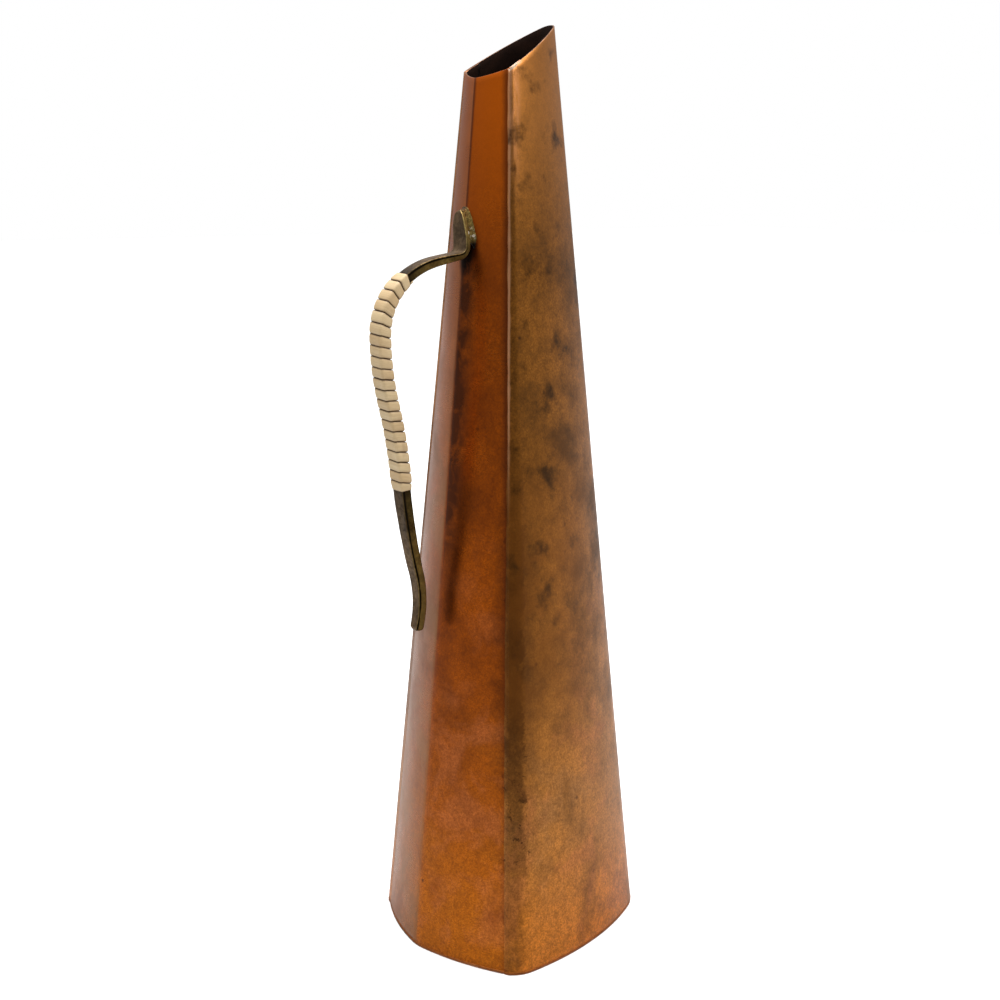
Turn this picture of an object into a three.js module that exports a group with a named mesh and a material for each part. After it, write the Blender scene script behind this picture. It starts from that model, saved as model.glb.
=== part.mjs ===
// A tall copper watering can: a hollow leaning pyramid of soldered sheet with an obliquely cut
// mouth, and one forged brass handle bound with cane.
// Millimetres and degrees. +Z is up, +X points to the pouring lip and -X to the handle.
// The origin is under the middle of the can, on the table, and y = 0 is the plane of symmetry.

import * as THREE from 'three';

// ---- driving dimensions ------------------------------------------------------------------

const HEIGHT = 440; // table to the tip of the lip
const MOUTH_SLOPE = 30.4; // angle of the mouth to the table
const SHEET = 0.8; // copper sheet of the walls
const PLATE = 1; // copper sheet of the base
const GAP = 0.3; // left between pieces that touch
const LAP = 6.5; // how far the rear panel reaches under the front panel
const ROUND = 10; // arcs in the whole section, five to each side

// The section is a chain of arcs from the lip round to the crease at the back, the same on both
// sides. Each arc turns through the same angle at every height, so the walls bend like sheet.
const ARCS = ['lip', 'side', 'corner', 'back', 'crease'];
const TURN = { lip: 57, side: 30, corner: 64, back: 20, crease: 9 };

// Arc lengths of the rear panel's outer face at the table and at the height of the lip's tip.
// The back is as long as it must be to reach the plane of symmetry.
// The seam is the front panel's edge, and lies this far from the end of the back.
const BASE = { lipX: 62.9, lip: 33.6, side: 88, corner: 15.3, crease: 2.5, seam: 3.8 };
const TOP = { lipX: 15.4, lip: 6.3, side: 32.5, corner: 2.4, crease: 0.25, seam: 1.5 };

// The handle's centre line: arcs from the top of the leaf, given as length and turn.
const HANDLE_START = { x: -34.4, z: 355.3, heading: -95 };
const HANDLE_ARCS = [
  { length: 16.7, turn: 0 }, // leaf, lying on the crease
  { length: 6.3, turn: -75.5 }, // sharp bend outwards
  { length: 11.3, turn: 2 },
  { length: 25, turn: 37 },
  { length: 22, turn: 41.5 }, // shoulder of the grip
  { length: 32, turn: 14.5 },
  { length: 36, turn: -9 },
  { length: 46, turn: 9 },
  { length: 28.4, turn: -31 }, // free lower end, curling back out
];

// Forged size of the bar at distances along its centre line.
const BAR_SIZES = [
  { at: 0, width: 2.6, thickness: 2.4 },
  { at: 2.5, width: 4, thickness: 2.4 },
  { at: 7, width: 7, thickness: 2.4 },
  { at: 12, width: 9.5, thickness: 2.4 },
  { at: 17, width: 11.6, thickness: 2.4 },
  { at: 23, width: 11, thickness: 3 },
  { at: 34, width: 8.4, thickness: 3.9 },
  { at: 46, width: 8, thickness: 4.3 },
  { at: 75, width: 8, thickness: 4.9 },
  { at: 157, width: 8, thickness: 5 },
  { at: 225, width: 5.4, thickness: 4.3 },
];
const TIP_ROUNDING = 2.2; // length over which each end of the bar is rounded
const BAR_CHAMFER = 0.15; // corner cut, as a part of the half width and half thickness

const CANE = 0.9; // thickness of the cane strip
const CANE_START = 51; // along the centre line
const CANE_PITCH = 4.9;
const CANE_TURNS = 21;

const COPPER = { color: 0xa9683a, roughness: 0.42, metalness: 1 };
const BRASS = { color: 0x5b4b32, roughness: 0.5, metalness: 0.9 };
const CANE_COLOUR = { color: 0xcdb083, roughness: 0.6, metalness: 0 };
const SOLDER = { color: 0x8f8c84, roughness: 0.5, metalness: 0.9 };

// ---- helpers -----------------------------------------------------------------------------

const group = new THREE.Group();
const radians = THREE.MathUtils.degToRad;
const lerp = THREE.MathUtils.lerp;

function steps(from, to, count) {
  return Array.from({ length: count + 1 }, (_, i) => lerp(from, to, i / count));
}

// Closed skin over a row of loops that all have the same number of points. The first and last
// loops are joined when closed is true, and zipped shut point to opposite point when it isn't.
function skin(loops, closed) {
  const count = loops[0].length;
  const positions = loops.flat().flatMap((point) => point.toArray());
  const triangles = [];
  const quad = (a, b, c, d) => triangles.push(a, b, c, a, c, d);
  const spans = closed ? loops.length : loops.length - 1;
  for (let i = 0; i < spans; i += 1) {
    const here = i * count;
    const next = ((i + 1) % loops.length) * count;
    for (let k = 0; k < count; k += 1) {
      const after = (k + 1) % count;
      quad(here + k, here + after, next + after, next + k);
    }
  }
  if (!closed) {
    const last = (loops.length - 1) * count;
    for (let k = 0; k + 1 < count / 2; k += 1) {
      const across = count - 1 - k;
      quad(across - 1, k + 1, k, across);
      quad(last + across, last + k, last + k + 1, last + across - 1);
    }
  }
  return turnedOutwards(positions, triangles);
}

// Triangles wound so that the enclosed volume is positive.
function turnedOutwards(positions, triangles) {
  const corner = (i) => new THREE.Vector3().fromArray(positions, triangles[i] * 3);
  let volume = 0;
  for (let i = 0; i < triangles.length; i += 3) {
    volume += corner(i).dot(corner(i + 1).cross(corner(i + 2)));
  }
  const geometry = new THREE.BufferGeometry();
  geometry.setAttribute('position', new THREE.Float32BufferAttribute(positions, 3));
  geometry.setIndex(volume > 0 ? triangles : triangles.reverse());
  geometry.computeVertexNormals();
  return geometry;
}

function addPart(name, geometry, look) {
  const mesh = new THREE.Mesh(geometry, new THREE.MeshStandardMaterial(look));
  mesh.name = name;
  group.add(mesh);
}

// ---- the walls' shape --------------------------------------------------------------------

const normalAt = (angle) => new THREE.Vector2(Math.cos(angle), Math.sin(angle));

// How far an arc of unit length carries the outline, when it starts with this normal.
function arcReach(normal, turn) {
  return normalAt(normal - turn).sub(normalAt(normal)).divideScalar(turn);
}

// Arc lengths of the half section at height z.
function arcLengths(z) {
  const t = z / HEIGHT;
  const lengths = { back: 0 };
  for (const arc of ['lip', 'side', 'corner', 'crease']) {
    lengths[arc] = lerp(BASE[arc], TOP[arc], t);
  }
  let normal = 0;
  let width = 0;
  let backReach = 0;
  for (const arc of ARCS) {
    const reach = arcReach(normal, radians(TURN[arc])).y;
    width += reach * lengths[arc];
    backReach = arc === 'back' ? reach : backReach;
    normal -= radians(TURN[arc]);
  }
  lengths.back = -width / backReach;
  return lengths;
}

// Point of the wall at height z. around counts arcs from the lip: 0 is the lip, 5 the crease,
// and 5 to 10 come back to the lip on the far side. offset moves it outwards.
function wallPoint(z, around, offset) {
  const wrapped = ((around % ROUND) + ROUND) % ROUND;
  const far = wrapped > ROUND / 2;
  const walked = far ? ROUND - wrapped : wrapped;
  const lengths = arcLengths(z);
  const point = new THREE.Vector2(lerp(BASE.lipX, TOP.lipX, z / HEIGHT), 0);
  let normal = 0;
  ARCS.forEach((arc, i) => {
    const part = THREE.MathUtils.clamp(walked - i, 0, 1);
    if (part > 0) {
      const turn = radians(TURN[arc]) * part;
      point.addScaledVector(arcReach(normal, turn), lengths[arc] * part);
      normal -= turn;
    }
  });
  point.addScaledVector(normalAt(normal), offset);
  return new THREE.Vector3(point.x, far ? -point.y : point.y, z);
}

// Places along the section that depend on the height, counted in arcs from the lip. The side
// arc ends at 2, and the corner at 3.
const SIDE_END = 2;
const CORNER_END = 3;

function seamAt(z) {
  return CORNER_END - lerp(BASE.seam, TOP.seam, z / HEIGHT) / arcLengths(z).corner;
}

// Place that lies a distance from the seam towards the lip.
function towardsLip(z, distance) {
  const lengths = arcLengths(z);
  const cornerLeft = (seamAt(z) - SIDE_END) * lengths.corner;
  if (distance <= cornerLeft) {
    return seamAt(z) - distance / lengths.corner;
  }
  return SIDE_END - (distance - cornerLeft) / lengths.side;
}

const LIP_TIP_X = TOP.lipX + GAP + SHEET;
const FLOOR = PLATE + GAP; // underside of the walls

// Height at which the mouth's plane cuts a line of the wall.
function mouthHeight(aroundAt, offset) {
  let z = HEIGHT;
  for (let i = 0; i < 12; i += 1) {
    const { x } = wallPoint(z, aroundAt(z), offset);
    z = HEIGHT - Math.tan(radians(MOUTH_SLOPE)) * (LIP_TIP_X - x);
  }
  return z;
}

// A line up the wall from the base to the mouth.
function wallLine(aroundAt, offset, from, rows) {
  const top = mouthHeight(aroundAt, offset);
  return steps(from, top, rows).map((z) => wallPoint(z, aroundAt(z), offset));
}

// A sheet wall through the given lines, from its outer to its inner offset.
function wallPanel(lines, outer, inner) {
  const rows = 10;
  const loops = lines.map((line) => [
    ...wallLine(line, outer, FLOOR, rows),
    ...wallLine(line, inner, FLOOR, rows).reverse(),
  ]);
  return skin(loops, false);
}

// ---- copper body -------------------------------------------------------------------------

// Lines up the wall at fixed places, closer together on the tighter arcs.
function arcLines(arc, count) {
  const start = ARCS.indexOf(arc);
  return steps(start, start + 1, count).map((place) => () => place);
}

function frontPanel() {
  const corner = steps(0, 1, 6).map((part) => (z) => lerp(SIDE_END, seamAt(z), part));
  const near = [...arcLines('lip', 9), ...arcLines('side', 6).slice(1), ...corner.slice(1)];
  const far = near.slice(1).map((line) => (z) => -line(z)).reverse();
  return wallPanel([...far, ...near], GAP + SHEET, GAP);
}

function rearPanel() {
  const flange = steps(1, 0, 5).map((part) => (z) => towardsLip(z, LAP * part));
  const corner = steps(0, 1, 4).map((part) => (z) => lerp(seamAt(z), CORNER_END, part));
  const back = [...arcLines('back', 4).slice(1), ...arcLines('crease', 3).slice(1)];
  const near = [...flange, ...corner.slice(1), ...back];
  const far = near.slice(0, -1).map((line) => (z) => ROUND - line(z)).reverse();
  return wallPanel([...near, ...far], 0, -SHEET);
}

// Half the outline at the foot of the walls, from the lip to the crease.
function footStations() {
  const counts = { lip: 9, side: 6, corner: 8, back: 4, crease: 3 };
  const lines = ARCS.flatMap((arc, i) => arcLines(arc, counts[arc]).slice(i > 0 ? 1 : 0));
  return lines.map((line) => line(0));
}

// The base plate's edge is filed flush with the walls, so it follows the front panel's outer
// face, and comes in to the rear panel's between the seam and the end of the corner.
function plateOffset(around) {
  return (GAP + SHEET) * (1 - THREE.MathUtils.smoothstep(around, seamAt(0), CORNER_END));
}

function basePlate() {
  const near = footStations();
  const outline = near.map((place) => wallPoint(0, place, plateOffset(place)));
  const mirrored = outline.slice(1, -1).map((p) => new THREE.Vector3(p.x, -p.y, p.z)).reverse();
  const shape = new THREE.Shape([...outline, ...mirrored].map((p) => new THREE.Vector2(p.x, p.y)));
  return new THREE.ExtrudeGeometry(shape, { depth: PLATE, bevelEnabled: false });
}

// ---- solder ------------------------------------------------------------------------------

const BASE_FILLET = 2; // legs of the fillet inside the bottom corner
const SEAM_FILLET = 2; // width of the bead along a lap seam

// Inner face of the walls near the base: the front panel's, and past the end of the rear
// panel's flange the rear panel's.
function innerFace(around) {
  const bead = towardsLip(0, LAP + GAP + SEAM_FILLET);
  const clear = towardsLip(0, LAP + GAP + 2 * SEAM_FILLET);
  return GAP - (GAP + SHEET) * THREE.MathUtils.smoothstep(around, clear, bead);
}

function baseSolder() {
  const bottom = FLOOR;
  const half = footStations();
  const round = [...half, ...half.slice(1, -1).map((place) => ROUND - place).reverse()];
  const loops = round.map((place) => {
    const face = innerFace(Math.min(place, ROUND - place)) - GAP;
    return [
      wallPoint(bottom, place, face),
      wallPoint(bottom, place, face - BASE_FILLET),
      wallPoint(bottom + BASE_FILLET, place, face),
    ];
  });
  return skin(loops, true);
}

// Bead along the free edge of the rear panel's flange, against the front panel's inside.
// side is 1 for the near seam and -1 for the far one.
function seamSolder(side) {
  const from = FLOOR + BASE_FILLET + 2 * GAP;
  const rows = 12;
  const place = (distance) => (z) => side * towardsLip(z, LAP + GAP + distance);
  const lines = [
    wallLine(place(0), 0, from, rows),
    wallLine(place(SEAM_FILLET), 0, from, rows),
    wallLine(place(SEAM_FILLET * 0.6), -SHEET / 2, from, rows),
    wallLine(place(0), -SHEET, from, rows),
  ];
  const loops = lines[0].map((_, row) => lines.map((line) => line[row]));
  return skin(loops, false);
}

// x of the rear panel's outer face beside the crease, at height z and distance y from it.
function backFace(y, z) {
  const places = steps(ROUND / 2, CORNER_END, 60);
  const points = places.map((place) => wallPoint(z, place, 0));
  const past = points.findIndex((p) => -p.y >= Math.abs(y));
  const a = points[Math.max(past - 1, 0)];
  const b = points[past];
  const t = past > 0 ? (Math.abs(y) + a.y) / (a.y - b.y) : 0;
  return lerp(a.x, b.x, t);
}

// ---- handle ------------------------------------------------------------------------------

// Point and heading of the handle's centre line at a distance from the top of the leaf.
function handleAt(distance) {
  let { x, z } = HANDLE_START;
  let heading = radians(HANDLE_START.heading);
  let left = distance;
  for (const arc of HANDLE_ARCS) {
    const walked = THREE.MathUtils.clamp(left, 0, arc.length);
    const turn = (radians(arc.turn) * walked) / arc.length;
    const chord = turn === 0 ? walked : (2 * walked * Math.sin(turn / 2)) / turn;
    x += chord * Math.cos(heading + turn / 2);
    z += chord * Math.sin(heading + turn / 2);
    heading += turn;
    left -= walked;
  }
  return { x, z, heading };
}

const HANDLE_LENGTH = HANDLE_ARCS.reduce((sum, arc) => sum + arc.length, 0);

function barSize(distance) {
  const next = BAR_SIZES.findIndex((size) => size.at >= distance);
  const b = BAR_SIZES[next];
  const a = BAR_SIZES[Math.max(next - 1, 0)];
  const t = b === a ? 0 : (distance - a.at) / (b.at - a.at);
  return { width: lerp(a.width, b.width, t), thickness: lerp(a.thickness, b.thickness, t) };
}

// Chamfered rectangle round the centre line. across runs along Y and out to the bar's left.
function barRing(distance, width, thickness) {
  const { x, z, heading } = handleAt(distance);
  const corner = 1 - BAR_CHAMFER;
  const profile = [
    [1, corner], [corner, 1], [-corner, 1], [-1, corner],
    [-1, -corner], [-corner, -1], [corner, -1], [1, -corner],
  ];
  return profile.map(([across, out]) => {
    const lift = (out * thickness) / 2;
    return new THREE.Vector3(
      x - Math.sin(heading) * lift,
      (across * width) / 2,
      z + Math.cos(heading) * lift,
    );
  });
}

// Rounds the bar's size off towards its two ends.
function endRounding(distance) {
  const inside = Math.min(distance, HANDLE_LENGTH - distance, TIP_ROUNDING) / TIP_ROUNDING;
  return Math.max(Math.sqrt(1 - (1 - inside) ** 2), 0.4);
}

function handleBar() {
  const ends = [0, 0.4, 1, 1.6, TIP_ROUNDING];
  const bend = steps(17, 24, 5);
  const rest = steps(27, HANDLE_LENGTH - 3, 44);
  const start = [3, 5.5, 8, 12];
  const stations = [...ends, ...start, ...bend, ...rest];
  stations.push(...ends.map((end) => HANDLE_LENGTH - end).reverse());
  const rings = stations.map((distance) => {
    const size = barSize(distance);
    const round = endRounding(distance);
    return barRing(distance, size.width * round, size.thickness * round);
  });
  return skin(rings, false);
}

// The wound cane as one plain sleeve of its outer size, with the bar's room through it.
function caneBinding() {
  const length = CANE_PITCH * CANE_TURNS;
  const stations = steps(CANE_START, CANE_START + length, 30);
  const rings = (clear) => stations.map((distance) => {
    const { width, thickness } = barSize(distance);
    return barRing(distance, width + 2 * clear, thickness + 2 * clear);
  });
  const inner = rings(GAP);
  const outer = rings(GAP + CANE);
  const loops = outer[0].map((_, i) => [
    ...outer.map((ring) => ring[i]),
    ...inner.map((ring) => ring[i]).reverse(),
  ]);
  return skin(loops, true);
}

// Solder between the flat leaf and the creased back, standing out all round the leaf.
function handleSolder() {
  const margin = 0.9;
  const leafEnd = 17;
  const across = steps(-1, 1, 6);
  const loops = steps(-margin, leafEnd, 9).map((distance) => {
    const { x, z } = handleAt(Math.max(distance, 0));
    const size = barSize(Math.max(distance, 0));
    const above = Math.max(-distance, 0);
    const half = (size.width / 2) * (distance < 0 ? 0.7 : 1) + margin;
    const level = z + above;
    const leafBack = x + size.thickness / 2 + GAP;
    const front = across.map((t) => new THREE.Vector3(leafBack, t * half, level));
    const back = front.map((p) => new THREE.Vector3(backFace(p.y, level) - GAP, p.y, level));
    return [...front, ...back.reverse()];
  });
  return skin(loops, false);
}

// ---- assembly ----------------------------------------------------------------------------

addPart('rear_panel', rearPanel(), COPPER);
addPart('front_panel', frontPanel(), COPPER);
addPart('base_plate', basePlate(), COPPER);
addPart('base_solder', baseSolder(), SOLDER);
addPart('seam_solder_near', seamSolder(1), SOLDER);
addPart('seam_solder_far', seamSolder(-1), SOLDER);
addPart('handle_bar', handleBar(), BRASS);
addPart('handle_solder', handleSolder(), SOLDER);
addPart('cane_binding', caneBinding(), CANE_COLOUR);

export default group;
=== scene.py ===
# %% [markdown]
# # A tall copper watering can with a cane-bound brass handle
# The can is a leaning, hollow pyramid of thin copper sheet. Two panels are bent, lapped at the
# two rear corners and soldered, a plate closes the foot, and the mouth is one oblique cut. A
# single forged brass bar, soldered to the crease at the back by its flattened top end, is the
# handle, and a strip of split cane is wound round its grip.
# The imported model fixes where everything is. This lesson rebuilds each piece around it with
# the fine shape, and then with the finish, that copper, brass, solder and cane really have.

# %% Load the frame
import math

import bmesh
import bpy
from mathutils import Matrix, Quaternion, Vector, noise

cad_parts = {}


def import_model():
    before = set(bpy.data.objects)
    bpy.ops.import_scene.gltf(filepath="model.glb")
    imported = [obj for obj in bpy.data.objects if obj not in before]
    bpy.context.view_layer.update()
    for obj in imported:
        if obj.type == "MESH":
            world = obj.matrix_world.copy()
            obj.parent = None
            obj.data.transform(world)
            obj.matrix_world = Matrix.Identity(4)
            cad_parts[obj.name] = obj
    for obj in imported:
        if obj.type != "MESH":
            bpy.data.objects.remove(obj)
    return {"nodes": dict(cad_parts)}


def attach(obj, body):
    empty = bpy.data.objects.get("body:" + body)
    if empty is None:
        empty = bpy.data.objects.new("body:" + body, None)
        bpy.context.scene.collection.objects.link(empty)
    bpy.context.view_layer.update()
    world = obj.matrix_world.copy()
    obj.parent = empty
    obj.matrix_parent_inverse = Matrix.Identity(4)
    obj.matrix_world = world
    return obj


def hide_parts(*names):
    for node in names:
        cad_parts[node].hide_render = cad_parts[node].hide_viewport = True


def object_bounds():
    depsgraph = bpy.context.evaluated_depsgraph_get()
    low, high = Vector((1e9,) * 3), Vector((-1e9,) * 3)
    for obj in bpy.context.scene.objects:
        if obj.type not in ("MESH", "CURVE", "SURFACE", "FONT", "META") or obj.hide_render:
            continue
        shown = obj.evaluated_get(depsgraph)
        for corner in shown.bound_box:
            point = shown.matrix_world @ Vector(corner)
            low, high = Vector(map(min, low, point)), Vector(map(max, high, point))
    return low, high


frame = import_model()
cad_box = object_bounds()
MM = 0.001
print("frame nodes:", ", ".join(sorted(frame["nodes"])))
print("frame height in mm:", round(cad_box[1].z / MM, 1))

# %% [markdown]
# ## Small helpers
# A mesh can be edited by hand, grown by modifiers or written point by point. The pieces here
# are bent sheet and swept bars, so each one is a list of loops, and one function skins them.
# Numbers measured on a piece, such as the distance to its seam, are stored on its points as
# attributes, so that a finish can follow them later.

# %% Helpers for numbers and meshes
def mix(a, b, share):
    return a + (b - a) * share


def spread(start, end, count):
    return [mix(start, end, i / count) for i in range(count + 1)]


def smooth(low, high, value):
    share = min(max((value - low) / (high - low), 0.0), 1.0)
    return share * share * (3 - 2 * share)


def turned(angle):
    return Vector((math.cos(angle), math.sin(angle)))


def skin(name, loops, ring=True, joined=False, marks=None):
    """Mesh over loops of equally many points. ring closes each loop, and the first and last
    loop are filled unless joined closes the row of loops. marks are attributes: name -> value
    of (loop, point)."""
    work = bmesh.new()
    rows = [[work.verts.new(point) for point in loop] for loop in loops]
    count = len(loops[0])
    following = rows[1:] + (rows[:1] if joined else [])
    for here, after in zip(rows, following):
        for k in range(count if ring else count - 1):
            work.faces.new((here[k], here[(k + 1) % count], after[(k + 1) % count], after[k]))
    if ring and not joined:
        work.faces.new(reversed(rows[0]))
        work.faces.new(rows[-1])
    bmesh.ops.recalc_face_normals(work, faces=work.faces)
    mesh = bpy.data.meshes.new(name)
    work.to_mesh(mesh)
    work.free()
    for label, value in (marks or {}).items():
        store = mesh.attributes.new(label, "FLOAT", "POINT")
        values = [value(i, k) for i in range(len(loops)) for k in range(count)]
        store.data.foreach_set("value", values)
    mesh.shade_smooth()
    piece = bpy.data.objects.new(name, mesh)
    bpy.context.scene.collection.objects.link(piece)
    return piece


def modifier(piece, kind, **settings):
    made = piece.modifiers.new(kind.title(), kind)
    for name, value in settings.items():
        setattr(made, name, value)
    return made


def fit(piece, node):
    """The piece stands for a node of the frame, and rides on the one body."""
    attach(piece, "root")
    if node:
        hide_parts(node)
    points = len(piece.data.vertices)
    print(f"{piece.name}: {points} points, stands for {node or 'nothing'}")


# %% [markdown]
# ## The pattern of the walls
# The real walls are flat sheet bent over a former, so they curve one way only. The section is
# a chain of arcs from the pouring lip round to the crease at the back: a round lip, a nearly
# flat side, a tight corner, a nearly flat back and a soft crease. Each arc turns by the same
# angle at every height and only its length changes, which is what bent sheet does. A lofted
# surface or a lattice could give a like shape, but only this keeps the sides truly straight
# from foot to mouth.

# %% The section of the walls
HEIGHT = cad_box[1].z
SHEET = 0.8 * MM
STEP = 1.1 * MM  # the front panel's face stands this far in front of the rear panel's
FOOT = 1.3 * MM  # underside of the walls
LAP = 6.5 * MM  # the rear panel reaches this far under the front panel
FLOODED = {1: 1.9, -1: 4.2}  # mm of seam solder behind the lap at the foot, near and far side
ARCS = ("lip", "side", "corner", "back", "crease")
TURN = {"lip": 57, "side": 30, "corner": 64, "back": 20, "crease": 9}
LENGTH_LOW = {"lip": 33.6, "side": 88, "corner": 15.3, "crease": 4}
LENGTH_HIGH = {"lip": 6.3, "side": 32.5, "corner": 2.4, "crease": 0.7}
LIP_X = (62.9 * MM, 15.4 * MM)
SEAM_BACK = (3.8 * MM, 1.5 * MM)  # from the seam to the start of the back
SIDE_END, CORNER_END, CREASE = 2, 3, 5


def arc_reach(normal, turn):
    return (turned(normal - turn) - turned(normal)) / turn


def arc_lengths(z):
    share = z / HEIGHT
    lengths = {arc: mix(LENGTH_LOW[arc], LENGTH_HIGH[arc], share) * MM for arc in LENGTH_LOW}
    normal, width, back_reach = 0.0, 0.0, 1.0
    for arc in ARCS:
        turn = math.radians(TURN[arc])
        reach = arc_reach(normal, turn).y
        if arc == "back":
            back_reach = reach
        else:
            width += reach * lengths[arc]
        normal -= turn
    lengths["back"] = -width / back_reach
    return lengths


def wall_at(z, around):
    """Point and outward normal of the rear panel's face. around counts arcs from the lip:
    positive on the near side, negative on the far side, 5 at the crease."""
    lengths = arc_lengths(z)
    point = Vector((mix(*LIP_X, z / HEIGHT), 0))
    normal = 0.0
    for i, arc in enumerate(ARCS):
        part = min(max(abs(around) - i, 0), 1)
        if part > 0:
            turn = math.radians(TURN[arc]) * part
            point += arc_reach(normal, turn) * lengths[arc] * part
            normal -= turn
    side = 1 if around >= 0 else -1
    out = turned(normal)
    return Vector((point.x, side * point.y, z)), Vector((out.x, side * out.y, 0))


def seam_at(z):
    return CORNER_END - mix(*SEAM_BACK, z / HEIGHT) / arc_lengths(z)["corner"]


def from_lip(z, around):
    """Length of the section from the lip to a place."""
    lengths = arc_lengths(z)
    return sum(lengths[arc] * min(max(abs(around) - i, 0), 1) for i, arc in enumerate(ARCS))


print("foot is", round((LIP_X[0] - wall_at(0, CREASE)[0].x) / MM, 1), "mm long")

# %% [markdown]
# ## Sheet that was worked by hand
# Hand-bent copper is never flat: it keeps long shallow waves from the former and small dents
# from the mallet. They are under a fifth of a millimetre, but a metal shows them in every
# reflection. A Displace modifier with a texture could do this. Moving the points by a noise of
# their place keeps both panels in step where one lies on the other.

# %% Unevenness of hand-worked sheet
LONG_WAVE = (9.0, 0.16 * MM)  # waves to the metre, height
DENT = (38.0, 0.05 * MM)


def hand_worked(point):
    rise = 0.0
    for often, height in (LONG_WAVE, DENT):
        rise += noise.noise(Vector((point.x, point.y, point.z * 0.6)) * often) * height
    return rise


def on_wall(z, around, offset):
    point, out = wall_at(z, around)
    return point + out * (offset + hand_worked(point))


# %% [markdown]
# The mouth is one saw cut through the finished cone, so every line of the wall ends where it
# meets that plane. The height is found by walking up the wall until point and plane agree.

# %% The oblique mouth
MOUTH_SLOPE = math.tan(math.radians(30.4))
MOUTH_STEPS = 12  # steps of the walk, which has come to rest long before the last
LIP_TIP_X = LIP_X[1] + STEP


def mouth_height(place, offset):
    z = HEIGHT
    for _ in range(MOUTH_STEPS):
        point, out = wall_at(z, place(z))
        z = HEIGHT - MOUTH_SLOPE * (LIP_TIP_X - (point + out * offset).x)
    return z


def below_mouth(point):
    return HEIGHT - MOUTH_SLOPE * (LIP_TIP_X - point.x) - point.z


# %% [markdown]
# ## The two copper panels
# Each panel is one sheet 0.8 mm thick. It is drawn as a thin surface of many straight lines
# from foot to mouth, then a Solidify modifier gives it its thickness inwards and a Bevel
# modifier takes the sharpness off its cut edges, as a file does. Solidify also gives the cut
# edge and the inside their own materials: the inside of a can that holds water is nearly
# black, and the rim is rubbed.
# Four distances are stored for the finish: to the seam, the mouth, the foot and the crease.

# %% Panels
PANEL_ROWS = 150
FILED = 0.22 * MM


def panel_marks(loops, to_seam):
    return {
        "to_seam": to_seam,
        "to_mouth": lambda i, k: below_mouth(loops[i][k]),
        "to_foot": lambda i, k: loops[i][k].z,
        "to_crease": lambda i, k: abs(loops[i][k].y),
    }


def panel(name, places, offset):
    loops = []
    for place in places:
        top = mouth_height(place, offset)
        loops.append([on_wall(z, place(z), offset) for z in spread(FOOT, top, PANEL_ROWS)])

    def to_seam(i, k):
        z = loops[i][k].z
        return from_lip(z, seam_at(z)) - from_lip(z, places[i](z))

    piece = skin(name, loops, ring=False, marks=panel_marks(loops, to_seam))
    modifier(piece, "SOLIDIFY", thickness=SHEET, offset=-1, material_offset=1,
             material_offset_rim=2, use_quality_normals=True)
    modifier(piece, "BEVEL", width=FILED, segments=2, limit_method="ANGLE",
             angle_limit=math.radians(50))
    return piece


def fixed(arc, count):
    start = ARCS.index(arc)
    return [lambda z, here=here: here for here in spread(start, start + 1, count)]


def mirrored(places):
    return [lambda z, place=place: -place(z) for place in reversed(places)]


def front_lines():
    corner = [lambda z, part=part: mix(SIDE_END, seam_at(z), part) for part in spread(0, 1, 14)]
    near = fixed("lip", 22) + fixed("side", 26)[1:] + corner[1:]
    return mirrored(near[1:]) + near


def towards_lip(z, distance):
    lengths = arc_lengths(z)
    corner_left = (seam_at(z) - SIDE_END) * lengths["corner"]
    if distance <= corner_left:
        return seam_at(z) - distance / lengths["corner"]
    return SIDE_END - (distance - corner_left) / lengths["side"]


def rear_lines():
    flange = [lambda z, part=part: towards_lip(z, LAP * part) for part in spread(1, 0, 6)]
    corner = [lambda z, part=part: mix(seam_at(z), CORNER_END, part) for part in spread(0, 1, 8)]
    near = flange + corner[1:] + fixed("back", 30)[1:] + fixed("crease", 5)[1:]
    return near + mirrored(near[:-1])


front = panel("front_copper_panel", front_lines(), STEP)
rear = panel("rear_copper_panel", rear_lines(), 0.0)
fit(front, "front_panel")
fit(rear, "rear_panel")

# %% [markdown]
# ## The foot
# A plate 1 mm thick closes the foot. It was soldered on a little large and filed back to the
# walls, so its edge follows them and is slightly rounded, and a thin uneven line of solder
# shows between plate and wall. The underside is drawn as rings, so that it can have the slight
# hollows of a plate that was flattened with a mallet.

# %% Outline of the foot
def foot_outline():
    counts = {"lip": 22, "side": 26, "corner": 18, "back": 24, "crease": 5}
    near = [place(0) for arc in ARCS for place in fixed(arc, counts[arc])[:-1]] + [CREASE]
    return near + [-place for place in reversed(near[1:-1])]


def plate_offset(around):
    past_seam = (abs(around) - seam_at(0)) / (CORNER_END - seam_at(0))
    if around > 0:
        past_seam *= FLOODED[-1] / FLOODED[1]
    return STEP * min(max(1 - past_seam, 0), 1)


def foot_loop(z, grow, shrink=1.0):
    loop = []
    for place in foot_outline():
        point, out = wall_at(0, place)
        point = (point + out * (plate_offset(place) + grow)) * shrink
        loop.append(Vector((point.x, point.y, z)))
    return loop


# %% Base plate and its solder line
PLATE = 1.0 * MM
PLATE_ROUND = 0.3 * MM
HOLLOW = 0.25 * MM


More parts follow.
